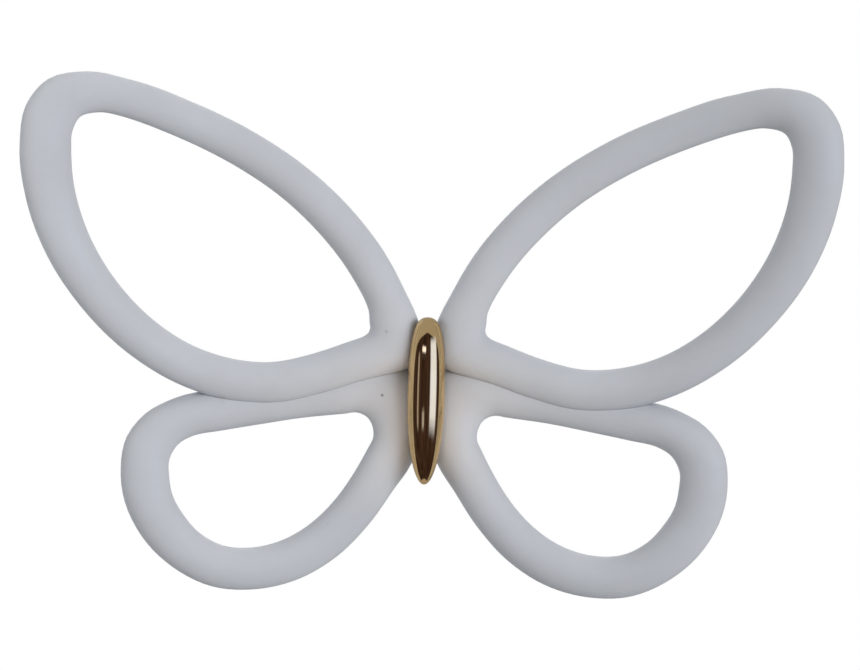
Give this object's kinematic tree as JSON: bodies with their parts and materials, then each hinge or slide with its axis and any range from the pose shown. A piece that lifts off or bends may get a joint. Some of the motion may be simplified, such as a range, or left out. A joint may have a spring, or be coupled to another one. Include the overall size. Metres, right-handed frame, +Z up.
{
  "type": "butterfly wall ornament",
  "caption": "Wall ornament in the shape of a butterfly: open loop wings of matte white ceramic, lapped at the roots behind a polished gold body, hung from a steel keyhole plate.",
  "frame": {"origin": "centre of the keyhole's entry on the rear face of the spine plate, which lies on the wall", "axes": "+X to the viewer's right along the wingspan, +Y into the wall, +Z up"},
  "size_m": [0.2028, 0.0266, 0.1281],
  "materials": {
    "white_ceramic": "matte",
    "polished_gold": "polished",
    "plate_steel": "satin",
    "gasket_felt": "matte",
    "screw_steel": "satin",
    "bumper_silicone": "satin"
  },
  "bodies": {
    "root": {"left_forewing": "white_ceramic", "right_forewing": "white_ceramic", "left_hindwing": "white_ceramic", "right_hindwing": "white_ceramic", "gold_body": "polished_gold", "spine_plate": "plate_steel", "root_gasket": "gasket_felt", "spine_screws": "screw_steel", "wall_bumpers": "bumper_silicone"}
  },
  "joints": []
}
